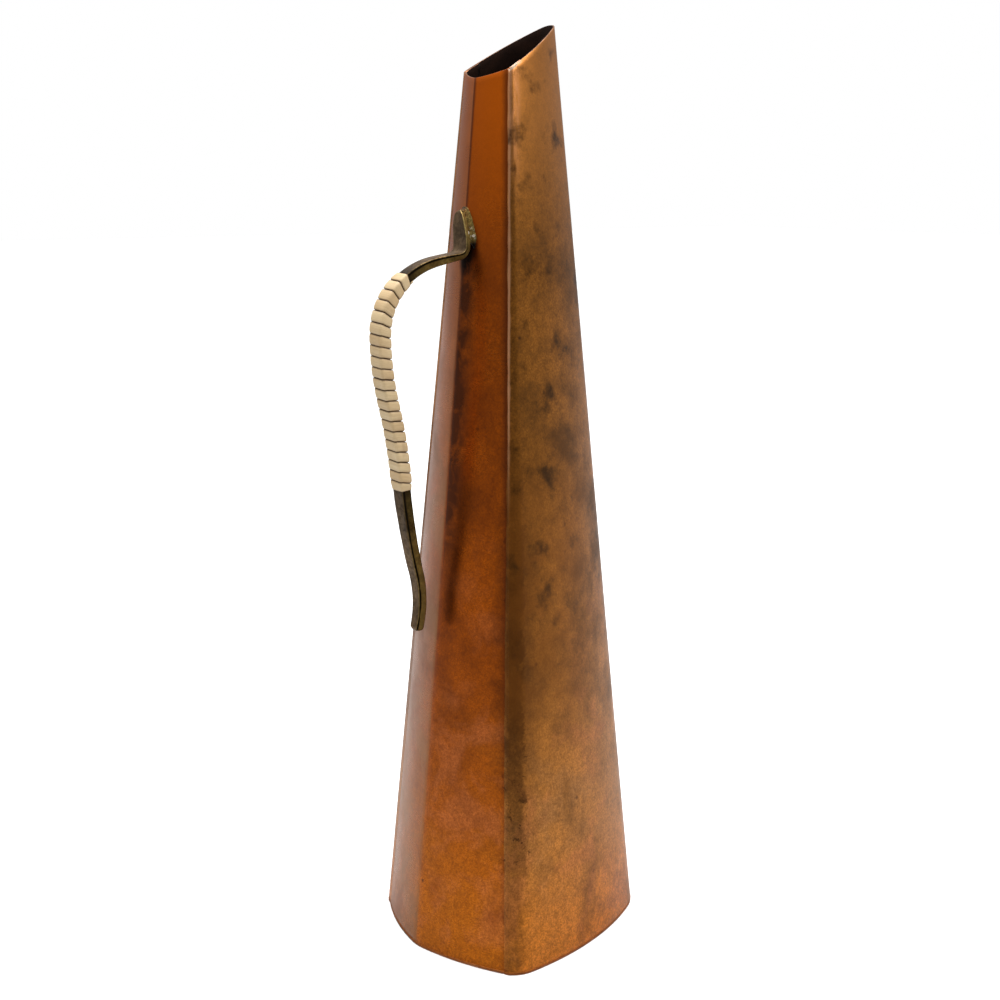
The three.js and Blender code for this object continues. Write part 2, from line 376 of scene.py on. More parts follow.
def base_plate():
    loops = []
    for shrink in (0.05, 0.2, 0.4, 0.6, 0.75, 0.88, 0.96):
        loop = foot_loop(0.0, -PLATE_ROUND, shrink)
        for point in loop:
            lift = 0.6 + 0.4 * noise.noise(point * 30)
            point.z = HOLLOW * lift * (1 - smooth(0.7, 1.0, shrink))
        loops.append(loop)
    for angle in (0, 30, 60, 90):
        lean = math.radians(angle)
        grow = -PLATE_ROUND * (1 - math.sin(lean))
        loops.append(foot_loop(PLATE_ROUND * (1 - math.cos(lean)), grow))
    loops.append(foot_loop(PLATE - PLATE_ROUND / 2, 0.0))
    loops.append(foot_loop(PLATE, -PLATE_ROUND / 2))
    loops.append(foot_loop(PLATE, -PLATE_ROUND, 0.5))
    return skin("base_copper_plate", loops)


def foot_solder():
    loops = []
    profile = ((0.75, -0.5), (0.8, -0.05), (0.98, 0.03), (1.18, 0.05), (1.4, 0.0), (1.5, -0.5))
    outline = [foot_loop(height * MM, out * MM) for height, out in profile]
    for k in range(len(outline[0])):
        loop = [row[k].copy() for row in outline]
        swell = 1 + 0.8 * noise.noise(loop[2] * 160)
        middle = (loop[1] + loop[4]) / 2
        for i in (2, 3):
            loop[i] = middle + (loop[i] - middle) * swell
        loops.append(loop)
    return skin("foot_solder_line", loops, joined=True)


plate = base_plate()
foot_line = foot_solder()
fit(plate, "base_plate")
fit(foot_line, None)

# %% [markdown]
# ## Solder along the lap seams
# The front panel's edge lies on the rear panel as a step of about a millimetre. Solder drew up
# into it and was wiped, so it fills the step with a low uneven slope. Near the foot it was
# wiped over the step altogether. It is swept up the seam with its width changed a little by a
# noise of the height.

# %% Seam solder
BEAD_ROWS = 220
FLOOD_ENDS = (0.1, 0.27)  # the flooding thins out between these heights, in metres


def seam_bead(name, side):
    def height_of(share):
        return mix(FOOT, mouth_height(seam_at, STEP) - 0.4 * MM, share)

    loops, backs = [], []
    for share in spread(0, 1, BEAD_ROWS):
        z = height_of(share)
        corner = arc_lengths(z)["corner"]
        flooded = 1 - smooth(*FLOOD_ENDS, z)
        wide = mix(0.75, FLOODED[side], flooded) + 0.35 * noise.noise(Vector((z * 90, 3.0, side)))
        high = mix(0.84, 1.0, flooded) + 0.1 * noise.noise(Vector((z * 140, 7.0, side)))
        wide, high = wide * MM, min(high, 1.0) * STEP
        edge = seam_at(z)
        lap = mix(0.05, -0.5, flooded) * MM
        shape = ((-0.6 * MM, 0.2 * MM), (lap, high + 0.03 * MM * flooded),
                 (wide * 0.3, high * 0.7), (wide * 0.65, high * 0.3),
                 (wide * 0.96, 0.05 * MM), (wide, 0.02 * MM),
                 (wide, -0.3 * MM), (-0.6 * MM, -0.3 * MM))
        loops.append([on_wall(z, side * (edge + back / corner), out) for back, out in shape])
        backs.append([-back for back, _ in shape])
    return skin(name, loops, marks=panel_marks(loops, lambda i, k: backs[i][k]))


for label, side in (("near", 1), ("far", -1)):
    fit(seam_bead(f"lap_solder_{label}", side), None)

# %% [markdown]
# ## Solder inside the can
# What makes the can tight is inside: a fillet of solder all round the floor, and a bead along
# the free edge of each flange, up to the rim. Both were run with an iron, so they are concave
# and a little lumpy. They could be a bevel on the sheet's edge, but they are pieces of their
# own in another metal, so each is swept with its own section.

# %% Solder round the floor and along the flanges
FILLET = 2.6 * MM
FILLET_SECTION = ((-0.1, 0.0), (1.0, 0.0), (0.5, 0.14), (0.28, 0.28), (0.14, 0.5), (0.0, 1.0),
                  (-0.1, 1.0))


def floor_fillet():
    flange_end = towards_lip(0, LAP)
    loops = []
    for place in foot_outline():
        face = -SHEET if abs(place) > flange_end else STEP - SHEET
        reach = FILLET * (1 + 0.3 * noise.noise(wall_at(0, place)[0] * 90))
        loops.append([on_wall(PLATE + up * reach, place, face - inwards * reach)
                      for inwards, up in FILLET_SECTION])
    return skin("floor_solder_fillet", loops, joined=True)


def flange_bead(name, side):
    def flange(z, further=0.0):
        return towards_lip(z, LAP + further)

    top = mouth_height(flange, STEP - SHEET) - 0.3 * MM
    loops = []
    for z in spread(PLATE, top, 160):
        wide = 1.2 + 0.4 * noise.noise(Vector((z * 80, 5.0, side)))
        shape = ((-0.3, 0.4), (wide, 0.4), (wide, 0.26), (wide * 0.5, 0.05), (wide * 0.2, -0.35),
                 (0.05, -0.72), (-0.3, -0.75))
        loops.append([on_wall(z, side * flange(z, further * MM), out * MM)
                      for further, out in shape])
    return skin(name, loops)


fit(floor_fillet(), "base_solder")
for label, side in (("near", 1), ("far", -1)):
    fit(flange_bead(f"flange_solder_{label}", side), f"seam_solder_{label}")

# %% [markdown]
# ## The forged handle
# The handle is one bar of brass, hammered out of rod: nearly square at the grip, thinner
# towards its free end, and flattened at the top into a pointed leaf that lies on the crease.
# Its centre line is a chain of arcs in the plane of symmetry, given as length and turn, as a
# smith would bend it. A curve with a bevel object would give one section all along. Here the
# width and thickness change at every step, so the section is drawn at each place instead.

# %% Centre line and sizes of the bar
HANDLE_START = (Vector((-34.4, 355.3)) * MM, math.radians(-95))
HANDLE_ARCS = ((16.7, 0), (6.3, -75.5), (11.3, 2), (25, 37), (22, 41.5), (32, 14.5), (36, -9),
               (46, 9), (28.4, -31))
BAR_SIZES = ((0, 3.4, 2.4), (1.2, 5.1, 2.4), (2.5, 6.6, 2.4), (4.5, 8.2, 2.4), (7, 9.5, 2.4),
             (10, 10.4, 2.4), (13, 10.9, 2.4), (17, 11, 2.4),
             (23, 10.2, 3), (34, 8.4, 3.9), (46, 8, 4.3), (75, 8, 4.9), (157, 8, 5), (225, 5.4, 4.3))
HANDLE_LENGTH = sum(length for length, _ in HANDLE_ARCS) * MM
TIP_ROUNDING = 2.2 * MM
BAR_ROUND = 0.5 * MM  # radius of the bar's long edges
LEAF_SWAY = 1.6 * MM  # the leaf leans out of the plane, to the near side at its lower end
LEAF_BULGE = 1.0 * MM  # and its point bulges to the far side


def handle_at(distance):
    """Point and heading of the centre line, in the plane y = 0, at a distance from the top."""
    point, heading = HANDLE_START[0].copy(), HANDLE_START[1]
    left = distance
    for length, degrees in HANDLE_ARCS:
        walked = min(max(left, 0), length * MM)
        turn = math.radians(degrees) * walked / (length * MM)
        chord = walked if abs(turn) < 1e-9 else 2 * walked * math.sin(turn / 2) / turn
        point += turned(heading + turn / 2) * chord
        heading += turn
        left -= walked
    return point, heading


def bar_size(distance):
    for (at, wide, thick), (next_at, next_wide, next_thick) in zip(BAR_SIZES, BAR_SIZES[1:]):
        if distance <= next_at * MM:
            share = (distance / MM - at) / (next_at - at)
            return mix(wide, next_wide, share) * MM, mix(thick, next_thick, share) * MM
    return BAR_SIZES[-1][1] * MM, BAR_SIZES[-1][2] * MM


# %% [markdown]
# A place on the bar is a distance along it and a share of the way round it. The way round is
# cut in quarters: outer face, near side, inner face, far side, each ending in a rounded edge.
# The same function places the cane later, a little further out.

# %% A place on the bar's surface
QUARTERS = ((0, -1), (-1, 0), (0, 1), (1, 0))  # which way each face looks: across, lift
FLAT_SHARE = 0.8


def sway(distance):
    lean = smooth(0.0, 20 * MM, distance) * (1 - smooth(26 * MM, 60 * MM, distance))
    point = 0.35 * LEAF_SWAY * (1 - smooth(0.0, 12 * MM, distance))
    return point + LEAF_BULGE * (1 - smooth(6 * MM, 16 * MM, distance)) - LEAF_SWAY * lean


def around_bar(share, half_wide, half_thick, radius):
    quarter = int(share * 4) % 4
    part = share * 4 - int(share * 4)
    out = Vector(QUARTERS[quarter])
    on = Vector(QUARTERS[(quarter + 1) % 4])
    half = Vector((half_wide, half_thick))
    half_out = abs(out.dot(half))
    half_on = abs(on.dot(half)) - radius
    if part < FLAT_SHARE:
        return out * half_out + on * half_on * (2 * part / FLAT_SHARE - 1)
    lean = (part - FLAT_SHARE) / (1 - FLAT_SHARE) * math.pi / 2
    centre = out * (half_out - radius) + on * half_on
    return centre + (out * math.cos(lean) + on * math.sin(lean)) * radius


def on_bar(distance, share, grow, scale=1.0):
    point, heading = handle_at(distance)
    wide, thick = bar_size(distance)
    radius = min(BAR_ROUND, wide * scale * 0.45, thick * scale * 0.45) + grow
    place = around_bar(share, wide * scale / 2 + grow, thick * scale / 2 + grow, radius)
    return Vector((
        point.x - math.sin(heading) * place.y,
        place.x + sway(distance),
        point.y + math.cos(heading) * place.y,
    ))


# %% The bar
HAMMERED = (130.0, 0.12 * MM)  # dents to the metre, depth
BAR_ROWS = 230
MIDDLE_OF_EDGE = (1 + FLAT_SHARE) / 2  # of a quarter of the way round


def round_steps(flat, corner):
    steps = []
    for quarter in range(4):
        start = quarter / 4
        turn = start + FLAT_SHARE / 4
        steps += spread(start, turn, flat)[:-1] + spread(turn, start + 0.25, corner)[:-1]
    return steps


def handle_bar():
    shares = round_steps(5, 4)
    ends = [end * MM for end in (0.02, 0.15, 0.4, 0.8, 1.3, 1.8)]
    inner = spread(TIP_ROUNDING, HANDLE_LENGTH - TIP_ROUNDING, BAR_ROWS)
    stations = ends + inner + [HANDLE_LENGTH - end for end in reversed(ends)]
    loops = []
    for distance in stations:
        inside = min(distance, HANDLE_LENGTH - distance, TIP_ROUNDING) / TIP_ROUNDING
        scale = max(math.sqrt(1 - (1 - inside) ** 2), 0.12)
        loop = []
        for share in shares:
            point = on_bar(distance, share, 0.0, scale)
            dent = noise.noise(point * HAMMERED[0]) * HAMMERED[1] * scale
            loop.append(on_bar(distance, share, dent, scale))
        loops.append(loop)

    def on_edge(i, k):
        part = (shares[k] * 4) % 1
        return max(1 - 10 * abs(part - MIDDLE_OF_EDGE), 0)

    marks = {
        "along": lambda i, k: stations[i],
        "round_share": lambda i, k: shares[k],
        "on_edge": on_edge,
    }
    return skin("forged_brass_handle", loops, marks=marks)


handle = handle_bar()
fit(handle, "handle_bar")
print("bar is", round(HANDLE_LENGTH / MM), "mm along its centre line")

# %% [markdown]
# ## Solder under the leaf
# The leaf was sweated on with plenty of solder, which stands round it as a concave fillet. The
# outline of the leaf is walked from one side over the point to the other, and at each place a
# small concave section runs from the leaf's side down to the copper.

# %% Joint solder
JOINT_END = 17.5 * MM
JOINT_WIDTH = 1.3 * MM


def back_x(y, z):
    """x of the rear panel's face beside the crease."""
    low, high = 2.5, CREASE
    for _ in range(24):
        middle = (low + high) / 2
        if -wall_at(z, middle)[0].y > abs(y):
            low = middle
        else:
            high = middle
    return on_wall(z, low, 0.0).x


def leaf_outline():
    places = [(distance * MM, -1) for distance in spread(JOINT_END / MM, 0.3, 26)]
    places += [(0.0, side) for side in (-0.6, 0.0, 0.6)]
    places += [(distance * MM, 1) for distance in spread(0.3, JOINT_END / MM, 26)]
    outline = []
    for distance, side in places:
        point, _ = handle_at(distance)
        wide, thick = bar_size(distance)
        outline.append((Vector((side * wide / 2 + sway(distance), point.y)), point.x, thick))
    return outline


def joint_solder():
    outline = leaf_outline()
    loops = []
    for i, (place, leaf_x, thick) in enumerate(outline):
        before = outline[max(i - 1, 0)][0]
        after = outline[min(i + 1, len(outline) - 1)][0]
        along = (after - before).normalized()
        out = Vector((-along.y, along.x))
        spill = JOINT_WIDTH * (1 + 0.35 * noise.noise(Vector((place.x, place.y, 1.0)) * 220))
        full = smooth(0, 8, min(i, len(outline) - 1 - i))
        spill *= mix(0.2, 1.0, full)
        high_x = leaf_x - thick * (0.1 + 0.12 * noise.noise(Vector((place.x, place.y, 5.0)) * 300))
        high_x = mix(back_x(place.x, place.y) - 0.2 * MM, high_x, mix(0.1, 1.0, full))
        loop = []
        for share, rise in ((-0.1, 1.0), (0.06, 0.75), (0.14, 0.5), (0.3, 0.25), (0.6, 0.08),
                            (1.0, 0.0)):
            spot = place + out * spill * share
            wall = back_x(spot.x, spot.y)
            x = mix(wall - 0.03 * MM, high_x, rise)
            loop.append(Vector((x, spot.x, spot.y)))
        last = place + out * spill
        loop.append(Vector((back_x(last.x, last.y) + 0.3 * MM, last.x, last.y)))
        first = place - out * 0.5 * MM
        loop.append(Vector((back_x(first.x, first.y) + 0.3 * MM, first.x, first.y)))
        loop.append(Vector((high_x, first.x, first.y)))
        loops.append(loop)
    return skin("handle_joint_solder", loops)


joint = joint_solder()
fit(joint, "handle_solder")

# %% [markdown]
# ## The cane binding
# The grip is wound with one strip of split cane, 21 turns laid edge to edge. A row of rings
# would look right from one side only: the strip is one helix. It climbs little on the outer
# face and more on the sides, where the winder's thumb pressed it over. Its section is flat
# below and slightly domed above, and at both ends it runs out under its neighbour.

# %% The strip
CANE = 0.85 * MM
CANE_LIFT = 0.08 * MM
CANE_START = 51 * MM
CANE_PITCH = 4.9 * MM
CANE_TURNS = 21
CANE_END = CANE_START + CANE_PITCH * CANE_TURNS
CANE_SLIT = 0.26 * MM  # dark gap between turns
TURN_LENGTH = 27 * MM  # of strip in one turn
CLIMB = (0.12, 0.28, 0.32, 0.28)  # share of the pitch climbed on each face
ACROSS = ((-1.0, 0.3), (-0.93, 0.68), (-0.75, 0.88), (-0.4, 0.98), (0.0, 1.0), (0.4, 0.98),
          (0.75, 0.88), (0.93, 0.68), (1.0, 0.3), (0.9, 0.0), (0.0, 0.0), (-0.9, 0.0))


def climbed(share):
    quarter = int(share * 4) % 4
    part = share * 4 - int(share * 4)
    return sum(CLIMB[:quarter]) + CLIMB[quarter] * part


def cane_strip():
    loops, lengths = [], []
    shares = round_steps(7, 6)
    for turn in range(-1, CANE_TURNS + 1):
        for share in shares:
            even = CANE_START + CANE_PITCH * (turn + climbed(share) + 0.5)
            middle = even + 0.16 * MM * noise.noise(Vector((even * 350, turn * 0.7, 2.0)))
            half = (CANE_PITCH - CANE_SLIT) / 2
            half += 0.1 * MM * noise.noise(Vector((even * 300, 9, 4)))
            low = max(middle - half, CANE_START)
            high = min(middle + half, CANE_END)
            if high - low < 0.3 * CANE_PITCH:
                continue
            thin = smooth(0.1, 0.7, (high - low) / CANE_PITCH)
            loop = []
            for across, rise in ACROSS:
                distance = mix(low, high, (across + 1) / 2)
                pulled = mix(0.35, 1, smooth(0, CANE_PITCH, CANE_END - distance))
                pulled *= mix(0.7, 1, smooth(0, CANE_PITCH, distance - CANE_START))
                height = CANE * rise * mix(0.5, 1, thin) * pulled
                loop.append(on_bar(distance, share, CANE_LIFT + height))
            loops.append(loop)
            lengths.append((turn + share) * TURN_LENGTH)
    marks = {
        "along": lambda i, k: lengths[i],
        "across": lambda i, k: ACROSS[k][0],
    }
    return skin("cane_strip", loops, marks=marks)


cane = cane_strip()
fit(cane, "cane_binding")

# %% [markdown]
# ## Materials
# All finishes come from nodes. One short function adds a node, sets its options and plugs in
# its inputs, so that a material reads from top to bottom as layers: the clean metal, the film
# of age on it, then dirt and wear along the edges.

# %% Helper for nodes
def plug(tree, socket, value):
    """Link a socket to another node's output, or set it to a plain value."""
    if isinstance(value, bpy.types.NodeSocket):
        tree.links.new(value, socket)
    else:
        socket.default_value = value


def add(tree, kind, inputs=None, **settings):
    made = tree.nodes.new("ShaderNode" + kind)
    for name, value in settings.items():
        setattr(made, name, value)
    for name, value in (inputs or {}).items():
        plug(tree, made.inputs[name], value)
    return made


def blend(tree, share, first, second):
    """Colour between first and second."""
    made = add(tree, "Mix", {0: share, 6: first, 7: second}, data_type="RGBA",
               blend_type="MIX", clamp_factor=True)
    return made.outputs[2]


def painted(tree, colour, *layers):
    """Colour under layers, each one a mask and the colour that it brings."""
    for mask, tone in layers:
        colour = blend(tree, mask, colour, tone)
    return colour


def number(tree, how, *values, clamp=False):
    inputs = dict(enumerate(values))
    return add(tree, "Math", inputs, operation=how, use_clamp=clamp).outputs[0]


def times(tree, first, *others):
    for value in others:
        first = number(tree, "MULTIPLY", first, value)
    return first


def plus(tree, start, *layers):
    """start and, over it, each mask times its share."""
    for mask, share in layers:
        start = number(tree, "ADD", start, times(tree, mask, share))
    return start


def ramped(tree, value, low, high, start=0.0, end=1.0):
    """start where value is low, end where it is high, and a soft change between."""
    made = add(tree, "MapRange", {"Value": value, "From Min": low, "From Max": high,
                                  "To Min": start, "To Max": end},
               interpolation_type="SMOOTHSTEP")
    return made.outputs[0]


def mark(tree, name):
    return add(tree, "Attribute", attribute_name=name).outputs["Fac"]


def side_of(tree, place):
    """How far a place is to the far side of the can."""
    return add(tree, "SeparateXYZ", {"Vector": place}).outputs["Y"]


def rgb(red, green, blue):
    """Colour given as 0 to 255 on screen, as the linear colour that nodes use."""
    def linear(value):
        value /= 255
        return value / 12.92 if value <= 0.04045 else ((value + 0.055) / 1.055) ** 2.4
    return (linear(red), linear(green), linear(blue), 1.0)


# %% [markdown]
# ### Shared effects
# Four effects are used by more than one finish, so each is a node group built once: cloudy
# patches of patina, small specks, fine wiping scratches, and a soft uneven line at a stored
# distance, for dirt in a corner, wear on an edge, and painted shade beside the lap.

# %% Node groups
FLOAT, VECTOR = "NodeSocketFloat", "NodeSocketVector"


def group(name, output, inputs):
    """A node group with one output. inputs are label, kind and value."""
    tree = bpy.data.node_groups.new(name, "ShaderNodeTree")
    for label, kind, value in inputs:
        socket = tree.interface.new_socket(label, in_out="INPUT", socket_type=kind)
        if value is not None:
            socket.default_value = value
    tree.interface.new_socket(output, in_out="OUTPUT", socket_type=FLOAT)
    start = tree.nodes.new("NodeGroupInput")
    end = tree.nodes.new("NodeGroupOutput")
    return tree, start.outputs, end.inputs[output]


def patina_patches():
    tree, start, end = group("patina patches", "Mask", [
        ("Place", VECTOR, None), ("Often", FLOAT, 20.0), ("Low", FLOAT, 0.4),
        ("High", FLOAT, 0.65), ("Warp", FLOAT, 0.6)])
    clouds = add(tree, "TexNoise", {"Vector": start["Place"], "Scale": start["Often"],
                                    "Detail": 7.0, "Roughness": 0.6,
                                    "Distortion": start["Warp"]}).outputs["Fac"]
    tree.links.new(ramped(tree, clouds, start["Low"], start["High"]), end)
    return tree


def small_specks():
    tree, start, end = group("small specks", "Mask", [
        ("Place", VECTOR, None), ("Often", FLOAT, 120.0), ("Size", FLOAT, 0.12),
        ("Share", FLOAT, 0.5)])
    cells = add(tree, "TexVoronoi", {"Vector": start["Place"], "Scale": start["Often"]})
    dot = ramped(tree, cells.outputs["Distance"], start["Size"], 0.0)
    chosen = add(tree, "SeparateColor", {"Color": cells.outputs["Color"]}).outputs["Red"]
    some = number(tree, "LESS_THAN", chosen, start["Share"])
    tree.links.new(times(tree, dot, some), end)
    return tree


def wiping_scratches():
    tree, start, end = group("wiping scratches", "Height", [
        ("Place", VECTOR, None), ("Stretch", VECTOR, (40.0, 40.0, 900.0))])
    along = add(tree, "VectorMath", {0: start["Place"], 1: start["Stretch"]},
                operation="MULTIPLY").outputs[0]
    lines = add(tree, "TexNoise", {"Vector": along, "Scale": 1.0, "Detail": 4.0,
                                   "Roughness": 0.65, "Distortion": 0.35})
    tree.links.new(lines.outputs["Fac"], end)
    return tree


def edge_line():
    tree, start, end = group("edge line", "Mask", [
        ("Place", VECTOR, None), ("Distance", FLOAT, 0.0), ("At", FLOAT, 0.0),
        ("Width", FLOAT, 0.001), ("Wander", FLOAT, 0.5)])
    away = number(tree, "ABSOLUTE", number(tree, "SUBTRACT", start["Distance"], start["At"]))
    clouds = add(tree, "TexNoise", {"Vector": start["Place"], "Scale": 110.0, "Detail": 5.0,
                                    "Roughness": 0.6}).outputs["Fac"]
    swing = times(tree, number(tree, "SUBTRACT", clouds, 0.5), start["Wander"])
    width = times(tree, start["Width"], plus(tree, 1.0, (swing, 2.0)))
    near = number(tree, "SUBTRACT", 1.0, number(tree, "DIVIDE", away, width), clamp=True)
    tree.links.new(number(tree, "SMOOTH_MAX", near, 0.0, 0.05), end)
    return tree


PATCHES = patina_patches()
SPECKS = small_specks()
SCRATCHES = wiping_scratches()
LINE = edge_line()
print("node groups:", ", ".join(g.name for g in (PATCHES, SPECKS, SCRATCHES, LINE)))


# %% Put a shared effect into a material
def use(tree, shared, **inputs):
    made = tree.nodes.new("ShaderNodeGroup")
    made.node_tree = shared
    for name, value in inputs.items():
        plug(tree, made.inputs[name], value)
    return made.outputs[0]


def cloudy(tree, place, often, low, high, warp=0.6):
    return use(tree, PATCHES, Place=place, Often=often, Low=low, High=high, Warp=warp)


def speckled(tree, place, often, size, share):
    return use(tree, SPECKS, Place=place, Often=often, Size=size, Share=share)


def wiped_over(tree, place, stretch=(40.0, 40.0, 900.0)):
    return use(tree, SCRATCHES, Place=place, Stretch=stretch)


def lined(tree, place, distance, at, width, wander):
    return use(tree, LINE, Place=place, Distance=distance, At=at, Width=width, Wander=wander)


# %% Start and finish a material
def material(name, metallic=0.0):
    """A new material, its tree, its Principled BSDF and the place on the object."""
    made = bpy.data.materials.new(name)
    made.use_nodes = True
    tree = made.node_tree
    shader = tree.nodes["Principled BSDF"]
    shader.inputs["Metallic"].default_value = metallic
    place = add(tree, "TexCoord").outputs["Object"]
    return made, tree, shader, place


def finish(tree, shader, colour, roughness, height, depth, strength):
    """depth is the height of the relief in mm."""
    bump = add(tree, "Bump", {"Height": height, "Distance": depth * MM, "Strength": strength})
    tree.links.new(colour, shader.inputs["Base Color"])
    tree.links.new(roughness, shader.inputs["Roughness"])
    tree.links.new(bump.outputs["Normal"], shader.inputs["Normal"])


def distance_to(tree, place, point, squeeze=(1, 1, 1)):
    """Distance from a point of the can, in metres, with an axis squeezed or stretched."""
    offset = add(tree, "VectorMath", {0: place, 1: tuple(point)}, operation="SUBTRACT")
    scaled = add(tree, "VectorMath", {0: offset.outputs[0], 1: squeeze}, operation="MULTIPLY")
    return add(tree, "VectorMath", {0: scaled.outputs[0]}, operation="LENGTH").outputs["Value"]


# %% [markdown]
# ### Copper
# The panels were once lacquered or oiled, and the copper under it has gone brown in clouds. It
# is a metal, so its colour is the colour of its reflections: the clean copper is orange, the
# thin film over it is a deeper red-brown, and the older film on the front panel is olive and
# nearly matt. Towards the foot the metal is painted lighter, a painted reflection of the pale floor.
# The seam has a ragged band of old flux and dirt, heaviest at a third of the height. It is on
# the near seam: the far one was soldered last and wiped clean.
# A picture of old copper could be wrapped round the can, but it would stretch on the tapering
# panels and its stains would lie anywhere. Masks made from clouds and from the distances stored
# on the panels, which are in metres, put each stain where water, flux and hands put it.
# Some of the masks paint light instead: the floor's reflection low down, and on the rear panel a
# reflection of the handle, a lighter reflection on the far half and shade beside the lap.

# %% Dirt along the seam
BAND_MIDDLE = 2.4 * MM  # the band's middle lies this far in front of the lap's edge


def seam_band(tree, place, seam, foot, reach):
    """Mask of the dark band along the seam, with ragged edges and loose flecks beside it."""
    ragged = cloudy(tree, place, 120.0, 0.25, 0.75)
    swing = times(tree, number(tree, "SUBTRACT", ragged, 0.5), 0.005)
    from_middle = number(tree, "ABSOLUTE", number(tree, "SUBTRACT", seam, BAND_MIDDLE))
    away = number(tree, "ADD", from_middle, swing)
    core = times(tree, ramped(tree, away, reach, reach * 0.45),
                 ramped(tree, foot, 0.02, 0.14, 0.3, 1.0), ramped(tree, foot, 0.3, 0.17),
                 ramped(tree, ragged, 1.0, 0.0, 0.8, 1.0))
    soft = times(tree, ramped(tree, away, reach * 3, reach * 0.4),
                 ramped(tree, foot, 0.05, 0.12), ramped(tree, foot, 0.27, 0.18), 0.5)
    flecks = times(tree, cloudy(tree, place, 300.0, 0.54, 0.62),
                   ramped(tree, away, reach * 1.8, reach * 0.5),
                   ramped(tree, foot, 0.03, 0.06), ramped(tree, foot, 0.2, 0.1), 0.9)
    band = number(tree, "MAXIMUM", number(tree, "MAXIMUM", core, soft), flecks)
    return times(tree, band, ramped(tree, side_of(tree, place), 0.0, 0.004, 1.0, 0.15))


# %% [markdown]
# Some marks belong to one panel only. On the front panel they are the rubbed edge of the lap,
# a paler strip with pinholes at its top, and a smear of solder at the corner of the mouth. On
# the rear panel they are the dirt in the crease, painted shade beside the lap, the black flux
# below the handle, a painted reflection of the handle as a dark streak on the near side of the
# crease, and a far half painted lighter higher up as a painted reflection of the bright room,
# and duller low down.

# %% Marks of the front panel
SEAM_TOP_Z = mouth_height(seam_at, STEP)
SEAM_TOP = on_wall(SEAM_TOP_Z, seam_at(SEAM_TOP_Z), STEP)
BRIGHT_SOLDER = rgb(184, 174, 156)
UPRIGHT = (900.0, 900.0, 60.0)  # streaks that run up the panel


def mouth_smear(tree, place):
    broken = cloudy(tree, place, 260.0, 0.35, 0.55)
    return times(tree, ramped(tree, distance_to(tree, place, SEAM_TOP), 0.009, 0.0045), broken)


def front_marks(tree, place, colour, seam, foot, mouth):
    cloud = cloudy(tree, place, 40.0, 0.35, 0.65)
    olive = times(tree, ramped(tree, foot, 0.07, 0.14), ramped(tree, foot, 0.27, 0.2),
                  plus(tree, 0.45, (cloud, 0.5)), ramped(tree, seam, 0.07, 0.03), 0.75)
    light_top = ramped(tree, foot, 0.32, 0.42, 0.0, 0.42)
    rubbed_edge = times(tree, lined(tree, place, seam, 0.0, 0.0008, 0.8),
                        ramped(tree, foot, 0.21, 0.28, 0.0, 0.85))
    strip = times(tree, ramped(tree, seam, 0.0065, 0.002), ramped(tree, foot, 0.35, 0.41),
                  ramped(tree, wiped_over(tree, place, UPRIGHT), 0.35, 0.6), 0.55)
    tall = add(tree, "VectorMath", {0: place, 1: (1, 1, 0.22)}, operation="MULTIPLY").outputs[0]
    pinholes = times(tree, speckled(tree, tall, 230.0, 0.3, 0.3),
                     ramped(tree, seam, 0.0035, 0.0025), ramped(tree, seam, 0.0008, 0.0014),
                     ramped(tree, foot, 0.34, 0.37), 0.9)
    blots = times(tree, cloudy(tree, place, 66.0, 0.53, 0.74, warp=0.0),
                  ramped(tree, foot, 0.12, 0.2, 0.3, 0.9))
    smear = times(tree, mouth_smear(tree, place), ramped(tree, mouth, 0.0016, 0.0005), 0.85)
    colour = painted(tree, colour, (olive, rgb(122, 70, 20)), (light_top, rgb(232, 152, 76)),
                     (rubbed_edge, rgb(232, 170, 128)), (strip, rgb(226, 154, 104)),
                     (pinholes, rgb(48, 14, 6)), (blots, rgb(62, 38, 12)),
                     (smear, BRIGHT_SOLDER))
    return colour, smear


# %% Marks of the rear panel
FLUX_STAIN = Vector((-32.0, -1.5, 334.0)) * MM


